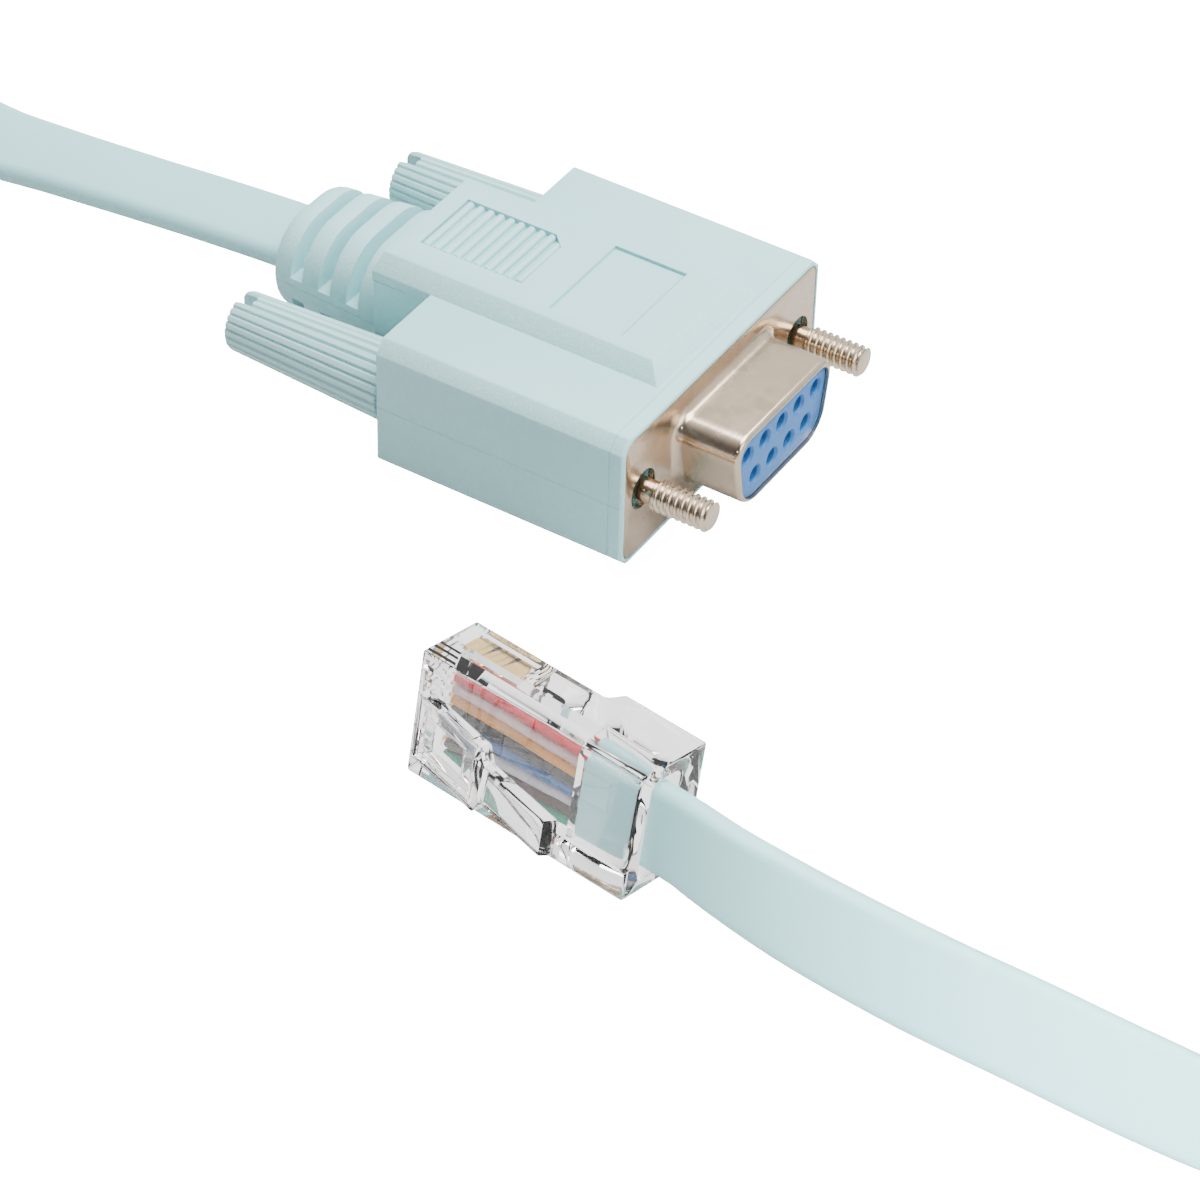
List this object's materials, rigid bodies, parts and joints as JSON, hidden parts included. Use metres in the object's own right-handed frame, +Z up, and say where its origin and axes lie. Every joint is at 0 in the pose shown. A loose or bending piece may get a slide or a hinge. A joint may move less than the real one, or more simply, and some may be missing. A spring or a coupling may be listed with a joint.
{
  "type": "console cable with a nine-way D connector and an eight-way modular plug",
  "caption": "Flat-cord console cable: moulded D connector with thumbscrews at one end, a clear latching modular plug at the other, spare length in a tied coil.",
  "frame": {"origin": "centre of the D connector's footprint, on the surface that it lies on", "axes": "+X the mating direction of the D connector, out of its shell; +Z up, through the wide side of the D"},
  "size_m": [0.2158, 0.1467, 0.0165],
  "materials": {
    "hood_vinyl": "pale grey-blue moulded vinyl, fine spark-eroded texture on its bevels",
    "nickel": "warm bright nickel plating on drawn steel",
    "screw_nickel": "bright nickel-plated steel with a rolled thread",
    "blue_insulator": "blue moulded insulator, slightly satin",
    "gold": "gold-flashed contact metal",
    "cord_jacket": "smooth satin vinyl jacket, pale blue",
    "clear_plastic": "clear polycarbonate, polished",
    "tie": "black plastic tie",
    "wire_red": "plastic wire insulation",
    "wire_white": "plastic wire insulation",
    "wire_yellow": "plastic wire insulation",
    "wire_black": "plastic wire insulation",
    "wire_blue": "plastic wire insulation",
    "wire_grey": "plastic wire insulation",
    "wire_brown": "plastic wire insulation",
    "wire_green": "plastic wire insulation"
  },
  "bodies": {
    "cable": {"hood": "hood_vinyl", "dsub_shell": "nickel", "dsub_insulator": "blue_insulator", "socket_contact_1": "gold", "socket_contact_2": "gold", "socket_contact_3": "gold", "socket_contact_4": "gold", "socket_contact_5": "gold", "socket_contact_6": "gold", "socket_contact_7": "gold", "socket_contact_8": "gold", "socket_contact_9": "gold", "cord_hood_run": "cord_jacket", "cord_coil": "cord_jacket", "cord_plug_run": "cord_jacket", "coil_tie": "tie", "plug_body": "clear_plastic", "plug_jacket": "cord_jacket", "plug_contact_1": "gold", "plug_contact_2": "gold", "plug_contact_3": "gold", "plug_contact_4": "gold", "plug_contact_5": "gold", "plug_contact_6": "gold", "plug_contact_7": "gold", "plug_contact_8": "gold", "plug_wire_1": "wire_red", "plug_wire_2": "wire_white", "plug_wire_3": "wire_yellow", "plug_wire_4": "wire_black", "plug_wire_5": "wire_blue", "plug_wire_6": "wire_grey", "plug_wire_7": "wire_brown", "plug_wire_8": "wire_green"},
    "near_thumbscrew": {"near_screw_knob": "hood_vinyl", "near_screw_shaft": "screw_nickel"},
    "far_thumbscrew": {"far_screw_knob": "hood_vinyl", "far_screw_shaft": "screw_nickel"},
    "latch": {"plug_latch": "clear_plastic"}
  },
  "joints": [
    {"name": "near_thumbscrew_turn", "type": "hinge", "parent": "cable", "child": "near_thumbscrew", "pos_m": [0, -0.01249, 0.00825], "axis": [1, 0, 0], "continuous": true},
    {"name": "far_thumbscrew_turn", "type": "hinge", "parent": "cable", "child": "far_thumbscrew", "pos_m": [0, 0.01249, 0.00825], "axis": [1, 0, 0], "continuous": true},
    {"name": "latch_press", "type": "hinge", "parent": "cable", "child": "latch", "pos_m": [0.01841, -0.0452, 0.00721], "axis": [0.0242, 0.172, 0.9848], "range_deg": [0, 10], "stiffness_Nm_per_rad": 0.15}
  ]
}
